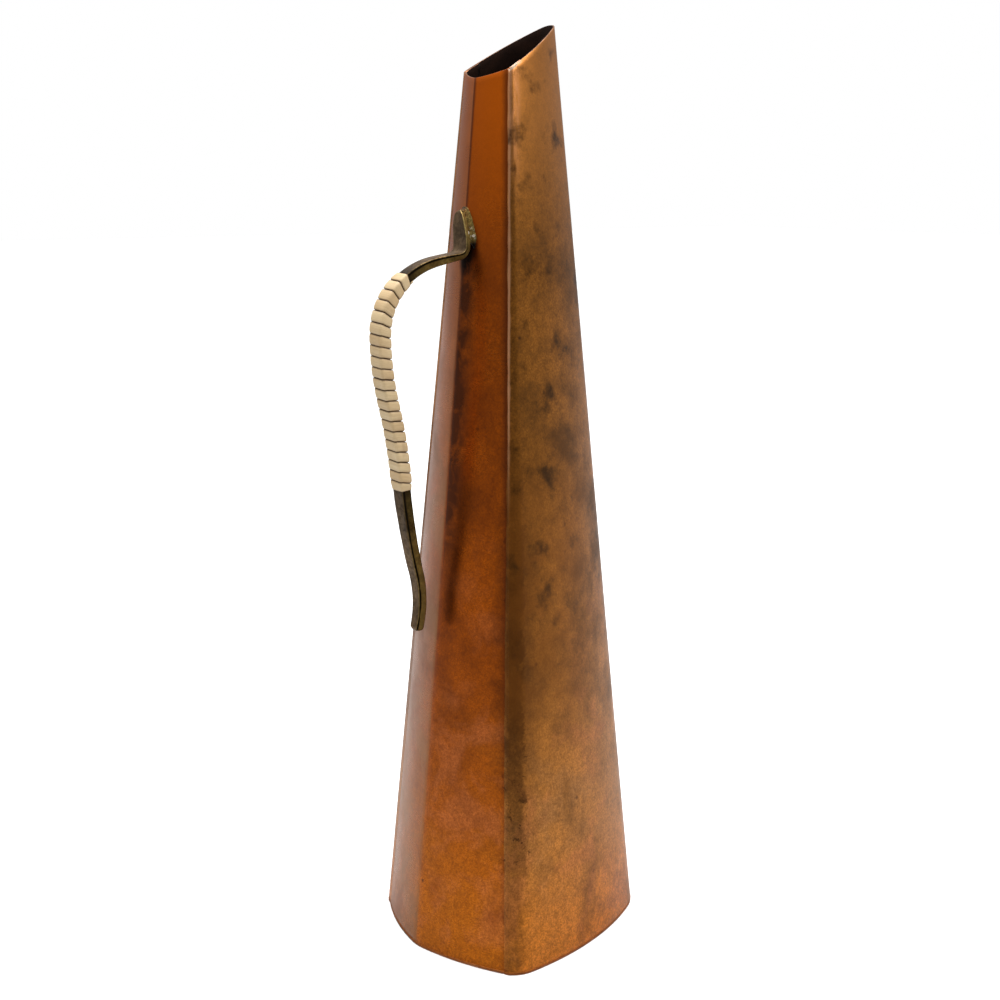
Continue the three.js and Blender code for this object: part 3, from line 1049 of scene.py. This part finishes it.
def rear_marks(tree, place, colour, seam, foot, crease):
    far = ramped(tree, side_of(tree, place), 0.0, 0.0012)
    near = ramped(tree, side_of(tree, place), 0.0, -0.0008)
    grey = cloudy(tree, place, 42.0, 0.35, 0.65)
    cloud = cloudy(tree, place, 90.0, 0.35, 0.6)
    orange_top = ramped(tree, foot, 0.3, 0.42, 0.0, 0.75)
    # painted reflection: the far half painted lighter higher up, as the bright side of the room
    # would show in it
    painted_far_reflection = times(tree, far, ramped(tree, foot, 0.16, 0.32, 0.0, 0.55),
                    plus(tree, 1.0, (grey, -0.4)))
    dull = times(tree, far, plus(tree, 0.35, (grey, 0.5)),
                 ramped(tree, foot, 0.34, 0.2, 0.0, 0.75))
    # painted shade along the foot of the lap's step
    painted_shade_beside_lap = times(tree, lined(tree, place, seam, -0.0014, 0.0026, 0.8),
                       ramped(tree, foot, 0.1, 0.3, 0.4, 0.75),
                       ramped(tree, far, 0.0, 1.0, 1.0, 0.2))
    # painted reflection: the handle mirrored as a dark streak on the near side of the crease, below
    # the joint
    painted_handle_reflection = times(tree, near, ramped(tree, crease, 0.0125, 0.003),
                  ramped(tree, foot, 0.17, 0.22), ramped(tree, foot, 0.35, 0.33), 0.85,
                  number(tree, "ADD", 0.5, cloud))
    in_crease = times(tree, lined(tree, place, crease, 0.0, 0.0014, 0.8),
                      ramped(tree, foot, 0.1, 0.42, 0.0, 0.8))
    trail = times(tree, ramped(tree, crease, 0.0035, 0.001), cloud,
                  ramped(tree, foot, 0.2, 0.3), ramped(tree, foot, 0.34, 0.33), 0.25)
    flux = ramped(tree, distance_to(tree, place, FLUX_STAIN, (1, 1, 0.5)), 0.0072, 0.003)
    flux = times(tree, flux, number(tree, "ADD", 0.65, cloud, clamp=True))
    colour = painted(tree, colour, (orange_top, rgb(216, 102, 6)), (painted_far_reflection, rgb(222, 132, 66)),
                     (dull, rgb(146, 102, 58)), (painted_shade_beside_lap, rgb(88, 38, 12)),
                     (painted_handle_reflection, rgb(84, 38, 10)), (in_crease, rgb(66, 32, 14)),
                     (trail, rgb(56, 28, 12)), (times(tree, flux, 0.95), rgb(20, 14, 10)))
    return colour, flux


# %% Copper finish
def copper(name, tones, cloud, old_share, gloss, band_reach, front):
    """tones: the clean metal, the film on it, the old film, the painted reflection of the floor low
    down, and the brighter painted reflection of the floor at the foot."""
    made, tree, shader, place = material(name, metallic=1.0)
    shader.inputs["Coat Roughness"].default_value = 0.3
    clean, film, old, light, bright = tones
    seam, foot = mark(tree, "to_seam"), mark(tree, "to_foot")
    mouth, crease = mark(tree, "to_mouth"), mark(tree, "to_crease")

    wide = cloudy(tree, place, 14.0, 0.35, 0.68, warp=0.1)
    middle = cloudy(tree, place, 52.0, 0.38, 0.66, warp=0.15)
    fine = cloudy(tree, place, 320.0, 0.35, 0.7)
    dust = cloudy(tree, place, 1100.0, 0.35, 0.65)
    # painted reflection of the pale floor: the lower walls painted lighter in clouds, and brighter
    # still in the last few centimetres
    painted_floor_reflection = times(tree, ramped(tree, foot, 0.02, 0.17, 1.0, 0.0),
                  plus(tree, 0.4, (middle, 0.6)), 0.9)
    painted_foot_reflection = times(tree, ramped(tree, foot, 0.0, 0.075, 1.0, 0.0),
                      plus(tree, 0.6, (wide, 0.4)))
    film_left = times(tree, cloudy(tree, place, 30.0, 0.42, 0.64), middle,
                      ramped(tree, foot, 0.24, 0.12, 0.1, 0.75))
    blush = times(tree, cloudy(tree, place, 34.0, 0.5, 0.66),
                  ramped(tree, foot, 0.1, 0.24, 0.32, 0.0))
    dark = times(tree, wide, middle, ramped(tree, foot, 0.06, 0.2, 0.25, 0.85),
                 ramped(tree, foot, 0.3, 0.38, 1.0, 0.4))
    band = seam_band(tree, place, seam, foot, band_reach)
    mouth_dirt = lined(tree, place, mouth, 0.0, 0.004, 1.4)
    specks = speckled(tree, place, 80.0, 0.13, 0.25)
    colour = painted(tree, clean, (times(tree, wide, cloud), film),
                     (times(tree, middle, cloud * 0.7), film), (painted_floor_reflection, light),
                     (painted_foot_reflection, bright), (film_left, film), (blush, rgb(218, 128, 78)),
                     (times(tree, dark, old_share), old), (times(tree, fine, 0.3), old),
                     (times(tree, dust, 0.42), old), (times(tree, band, 0.92), rgb(46, 21, 2)),
                     (times(tree, mouth_dirt, 0.4), rgb(96, 62, 40)),
                     (times(tree, specks, 0.8), rgb(40, 20, 10)))
    if front:
        colour, matt = front_marks(tree, place, colour, seam, foot, mouth)
    else:
        colour, matt = rear_marks(tree, place, colour, seam, foot, crease)

    coat = times(tree, number(tree, "SUBTRACT", 1.0, matt, clamp=True), 0.1)
    tree.links.new(coat, shader.inputs["Coat Weight"])
    scratches = wiped_over(tree, place)
    roughness = plus(tree, gloss, (dark, 0.1), (middle, 0.06), (scratches, 0.1), (matt, 0.3),
                     (band, 0.15))
    grain = add(tree, "TexNoise", {"Vector": place, "Scale": 900.0, "Detail": 3.0})
    height = plus(tree, grain.outputs["Fac"], (scratches, 0.6), (specks, -0.8))
    finish(tree, shader, colour, roughness, height, 0.04, 0.35)
    return made


# the last two tones of each panel are the painted reflection of the floor low down and at the foot
REAR_TONES = (rgb(190, 92, 8), rgb(158, 74, 8), rgb(88, 38, 8), rgb(202, 118, 36),
              rgb(222, 126, 28))
FRONT_TONES = (rgb(212, 134, 52), rgb(166, 104, 36), rgb(62, 38, 12), rgb(206, 142, 82),
               rgb(248, 146, 48))
REAR_COPPER = copper("rear copper", REAR_TONES, cloud=0.9, old_share=0.6, gloss=0.22,
                     band_reach=0.0045, front=False)
FRONT_COPPER = copper("front copper", FRONT_TONES, cloud=0.95, old_share=0.95, gloss=0.27,
                      band_reach=0.0068, front=True)


# %% [markdown]
# The inside has held water for years and is nearly black. The cut edges were filed, then
# handled, so they are browner and rubbed, with a trace of solder at the corner of the mouth.

# %% Inside, cut edges and plate
def inside_copper():
    made, tree, shader, place = material("inside copper", metallic=0.4)
    shader.inputs["Specular IOR Level"].default_value = 0.25
    patches = cloudy(tree, place, 60.0, 0.35, 0.7)
    runs = wiped_over(tree, place, (500.0, 500.0, 30.0))
    colour = blend(tree, patches, rgb(34, 17, 10), rgb(58, 32, 18))
    colour = blend(tree, times(tree, runs, 0.5), colour, rgb(14, 8, 5))
    finish(tree, shader, colour, plus(tree, 0.5, (patches, 0.25)), patches, 0.1, 0.4)
    return made


def cut_edge():
    made, tree, shader, place = material("cut edge", metallic=1.0)
    patches = cloudy(tree, place, 150.0, 0.35, 0.65)
    file_marks = wiped_over(tree, place, (1200.0, 1200.0, 300.0))
    colour = blend(tree, patches, rgb(150, 104, 72), rgb(96, 66, 46))
    colour = blend(tree, mouth_smear(tree, place), colour, BRIGHT_SOLDER)
    finish(tree, shader, colour, plus(tree, 0.35, (patches, 0.2)), file_marks, 0.03, 0.5)
    return made


def plate_copper():
    made, tree, shader, place = material("plate copper", metallic=1.0)
    wide = cloudy(tree, place, 22.0, 0.35, 0.65)
    rubbed = cloudy(tree, place, 90.0, 0.45, 0.7)
    specks = speckled(tree, place, 150.0, 0.2, 0.3)
    scratches = wiped_over(tree, place, (60.0, 900.0, 60.0))
    colour = painted(tree, rgb(170, 104, 62), (wide, rgb(112, 72, 46)),
                     (times(tree, rubbed, 0.5), rgb(206, 150, 112)),
                     (times(tree, specks, 0.7), rgb(48, 34, 24)))
    finish(tree, shader, colour, plus(tree, 0.36, (wide, 0.16)), scratches, 0.05, 0.5)
    return made


INSIDE, CUT_EDGE, PLATE_COPPER = inside_copper(), cut_edge(), plate_copper()

# %% [markdown]
# ### Brass, solder and cane
# The bar was never polished: it has a grey-brown scale, olive where the scale is thin, with the
# yellow of the brass along the edges that a hand rubs. Near the leaf that yellow edge is made
# stronger as a painted highlight, and a yellow strip on the near side there is a painted highlight.
# Solder is a soft grey metal when new.
# Here it has gone yellow-brown and sooty under the leaf, the colour of the copper along the
# foot and dull inside, and shows bright only in spots. Split cane is a smooth cream skin with
# fine fibres along it, with painted shade along the edges of each turn, where it dips into the gap.
# One plain colour for each would read as plastic, so each has two tones in clouds, and then
# wear, dirt and painted light that follow the places along, round and across the piece stored
# on its points.

# %% Brass
NEAR_SIDE = 0.36  # share of the way round the bar at which the near side looks outwards
LONG_EDGE = 0.268  # share at which the outer face turns into the near side


def forged_brass():
    made, tree, shader, place = material("forged brass", metallic=1.0)
    along, share = mark(tree, "along"), mark(tree, "round_share")
    wide = cloudy(tree, place, 70.0, 0.38, 0.66)
    fine = cloudy(tree, place, 420.0, 0.35, 0.7)
    from_side = number(tree, "ABSOLUTE", number(tree, "SUBTRACT", share, NEAR_SIDE))
    side = ramped(tree, from_side, 0.16, 0.1)
    leaf = ramped(tree, along, 0.024, 0.012)
    tail = ramped(tree, along, 0.18, 0.21)
    scale = blend(tree, wide, rgb(126, 102, 74), rgb(80, 64, 46))
    olive = blend(tree, wide, rgb(134, 110, 58), rgb(88, 66, 30))
    # edges worn yellow by the hand, made stronger near the leaf as a painted highlight on the edge
    # there
    rubbed = times(tree, mark(tree, "on_edge"), number(tree, "SUBTRACT", 1.0, wide),
                   plus(tree, 0.25, (leaf, 0.55)))
    arris = times(tree, lined(tree, place, share, LONG_EDGE, 0.042, 1.4),
                  plus(tree, 1.0, (leaf, -0.7)), 1.5)
    colour = painted(tree, scale, (side, olive), (times(tree, fine, 0.55), rgb(40, 31, 21)),
                     (rubbed, rgb(190, 164, 104)),
                     # painted highlight: a yellow strip on the near side of the leaf
                     (times(tree, leaf, side, 0.6), rgb(176, 156, 92)),
                     (times(tree, tail, side, 0.5), rgb(142, 118, 64)), (arris, rgb(12, 9, 6)))

    grime_top = lined(tree, place, along, CANE_START, 0.012, 0.6)
    grime_low = times(tree, lined(tree, place, along, CANE_END, 0.03, 0.6),
                      ramped(tree, side, 0.0, 1.0, 0.75, 1.0))
    grime = times(tree, number(tree, "MAXIMUM", grime_top, grime_low), 0.8)
    in_cane = times(tree, ramped(tree, along, CANE_START, CANE_START + MM),
                    ramped(tree, along, CANE_END, CANE_END - MM))
    colour = blend(tree, number(tree, "MAXIMUM", grime, in_cane), colour, rgb(26, 20, 14))
    pits = add(tree, "TexNoise", {"Vector": place, "Scale": 700.0, "Detail": 5.0,
                                  "Roughness": 0.7}).outputs["Fac"]
    roughness = plus(tree, 0.44, (fine, 0.18), (rubbed, -0.12))
    finish(tree, shader, colour, roughness, plus(tree, pits, (wide, 1.5)), 0.12, 0.55)
    return made


# %% Solder
NOWHERE = (0, 0, -1)


def soldered(name, tin, stain, dark, metallic=0.9, bare_at=NOWHERE, burnt_at=NOWHERE):
    """Solder whose skin is bright in spots round one place and sooty round another."""
    made, tree, shader, place = material(name, metallic)
    patches = cloudy(tree, place, 190.0, 0.4, 0.6)
    fine = cloudy(tree, place, 900.0, 0.3, 0.7)
    spots = times(tree, cloudy(tree, place, 420.0, 0.53, 0.6),
                  ramped(tree, distance_to(tree, place, bare_at), 0.0055, 0.002))
    soot = ramped(tree, distance_to(tree, place, burnt_at), 0.0075, 0.005)
    colour = painted(tree, stain, (patches, tin), (times(tree, fine, 0.6), dark),
                     (spots, BRIGHT_SOLDER), (soot, rgb(20, 14, 9)))
    height = plus(tree, patches, (fine, 0.5))
    finish(tree, shader, colour, plus(tree, 0.36, (fine, 0.25)), height, 0.15, 0.6)
    return made


JOINT_SOLDER = soldered("joint solder", rgb(132, 112, 58), rgb(92, 68, 30), rgb(30, 21, 10),
                        bare_at=Vector((-35.0, -6.2, 344.0)) * MM,
                        burnt_at=Vector((-33.0, -5.0, 335.0)) * MM)
FOOT_SOLDER = soldered("foot solder", rgb(176, 106, 48), rgb(160, 92, 34), rgb(120, 66, 28))
HIDDEN_SOLDER = soldered("inside solder", rgb(38, 28, 21), rgb(26, 17, 12), rgb(13, 9, 6), 0.4)


# %% Cane
def split_cane():
    made, tree, shader, place = material("split cane")
    shader.inputs["Coat Weight"].default_value = 0.25
    shader.inputs["Coat Roughness"].default_value = 0.3
    along, across = mark(tree, "along"), mark(tree, "across")
    run = add(tree, "CombineXYZ", {"X": times(tree, along, 60.0),
                                   "Y": times(tree, across, 9.0)}).outputs[0]
    fibres = add(tree, "TexNoise", {"Vector": run, "Scale": 1.0, "Detail": 6.0,
                                    "Roughness": 0.7}).outputs["Fac"]
    length = add(tree, "CombineXYZ", {"X": times(tree, along, 22.0)}).outputs[0]
    slow = add(tree, "TexNoise", {"Vector": length, "Scale": 1.0, "Detail": 2.0}).outputs["Fac"]
    # painted shade along both edges of each turn, where the strip dips into the gap between turns
    painted_turn_edge_shade = ramped(tree, number(tree, "ABSOLUTE", across), 0.72, 1.0)
    stains = cloudy(tree, place, 120.0, 0.5, 0.8)
    colour = painted(tree, rgb(222, 198, 154), (ramped(tree, slow, 0.35, 0.65), rgb(206, 176, 130)),
                     (times(tree, ramped(tree, fibres, 0.42, 0.7), 0.5), rgb(176, 140, 96)),
                     (times(tree, painted_turn_edge_shade, 0.75), rgb(96, 62, 34)),
                     (times(tree, stains, 0.35), rgb(150, 112, 70)))
    finish(tree, shader, colour, plus(tree, 0.42, (fibres, 0.25)), fibres, 0.12, 0.5)
    return made


BRASS, CANE_SKIN = forged_brass(), split_cane()

# %% Give every piece its finish
FINISHES = {
    "front_copper_panel": (FRONT_COPPER, INSIDE, CUT_EDGE),
    "rear_copper_panel": (REAR_COPPER, INSIDE, CUT_EDGE),
    "base_copper_plate": (PLATE_COPPER,),
    "foot_solder_line": (FOOT_SOLDER,),
    "lap_solder_near": (FRONT_COPPER,),
    "lap_solder_far": (FRONT_COPPER,),
    "forged_brass_handle": (BRASS,),
    "handle_joint_solder": (JOINT_SOLDER,),
    "cane_strip": (CANE_SKIN,),
    "floor_solder_fillet": (HIDDEN_SOLDER,),
    "flange_solder_near": (HIDDEN_SOLDER,),
    "flange_solder_far": (HIDDEN_SOLDER,),
}
for name, finishes in FINISHES.items():
    slots = bpy.data.objects[name].data.materials
    slots.clear()
    for made in finishes:
        slots.append(made)
print("finished pieces:", len(FINISHES))

# %% [markdown]
# ## Floor, light and camera
# A metal is lit by what it reflects more than by lamps. The room is pale at the back and
# overhead and darker on the camera's side, as a light tent is open at its front. The World carries that as a soft change with direction. Two large soft lamps and a
# broad pale sun overhead give the cane and the handle their form. The floor looks nearly white,
# but counts as grey in what the copper reflects.

# %% Floor
FLOOR_REACH = 9.0


def floor():
    lines = spread(-FLOOR_REACH, FLOOR_REACH, 12)
    loops = [[Vector((x, y, 0.0)) for y in lines] for x in lines]
    piece = skin("floor", loops, ring=False)
    made, tree, shader, place = material("pale floor")
    pale = blend(tree, cloudy(tree, place, 3.0, 0.3, 0.7), rgb(250, 250, 250),
                 rgb(247, 247, 247))
    seen = add(tree, "LightPath").outputs["Is Camera Ray"]
    tree.links.new(blend(tree, seen, rgb(176, 176, 176), pale), shader.inputs["Base Color"])
    shader.inputs["Roughness"].default_value = 0.8
    piece.data.materials.append(made)


floor()


# %% World
def world():
    room = bpy.data.worlds.new("studio")
    bpy.context.scene.world = room
    room.use_nodes = True
    tree = room.node_tree
    tree.nodes.clear()
    way = add(tree, "TexCoord").outputs["Generated"]
    parts = add(tree, "SeparateXYZ", {"Vector": way})
    back = ramped(tree, parts.outputs["Y"], -1.0, -0.1, 0.03, 0.42)
    back = number(tree, "SUBTRACT", back, ramped(tree, parts.outputs["Y"], 0.4, 1.0, 0.0, 0.12))
    above = ramped(tree, parts.outputs["Z"], 0.1, 0.9, 0.0, 0.7)
    light = number(tree, "ADD", back, above)
    seen = add(tree, "LightPath").outputs["Is Camera Ray"]
    strength = add(tree, "Mix", {0: seen, 2: light, 3: 1.0}, data_type="FLOAT").outputs[0]
    shader = add(tree, "Background", {"Color": (1.0, 1.0, 1.0, 1.0), "Strength": strength})
    output = add(tree, "OutputWorld")
    tree.links.new(shader.outputs[0], output.inputs[0])


world()


# %% Lamps
def lamp(name, place, aim, size, power):
    data = bpy.data.lights.new(name, "AREA")
    data.energy = power
    data.shape = "DISK"
    data.size = size
    made = bpy.data.objects.new(name, data)
    made.location = place
    made.rotation_euler = (Vector(aim) - Vector(place)).to_track_quat("-Z", "Y").to_euler()
    bpy.context.scene.collection.objects.link(made)


lamp("soft_top", (0.1, 0.2, 2.0), (0.0, 0.0, 0.2), 1.6, 26.0)
sky = bpy.data.lights.new("overhead", "SUN")
sky.energy = 1.5
sky.angle = math.radians(70)
bpy.context.scene.collection.objects.link(bpy.data.objects.new("overhead", sky))
lamp("soft_front", (1.3, -1.5, 1.5), (0.0, 0.0, 0.2), 1.0, 16.0)


# %% Camera
def camera():
    data = bpy.data.cameras.new("camera")
    data.lens = 58.77
    data.sensor_width = 36.0
    data.shift_x = -0.0145
    made = bpy.data.objects.new("camera", data)
    made.location = (-0.47355, -0.62352, 0.36892)
    pan, tilt, roll = (math.radians(angle) for angle in (36.984, -11.098, -0.168))
    ahead = Vector((math.sin(pan) * math.cos(tilt), math.cos(pan) * math.cos(tilt),
                    math.sin(tilt)))
    made.rotation_mode = "QUATERNION"
    made.rotation_quaternion = ahead.to_track_quat("-Z", "Y")
    made.rotation_quaternion.rotate(Quaternion(ahead, roll))
    bpy.context.scene.collection.objects.link(made)
    bpy.context.scene.camera = made


camera()
bpy.context.scene.view_settings.view_transform = "Standard"
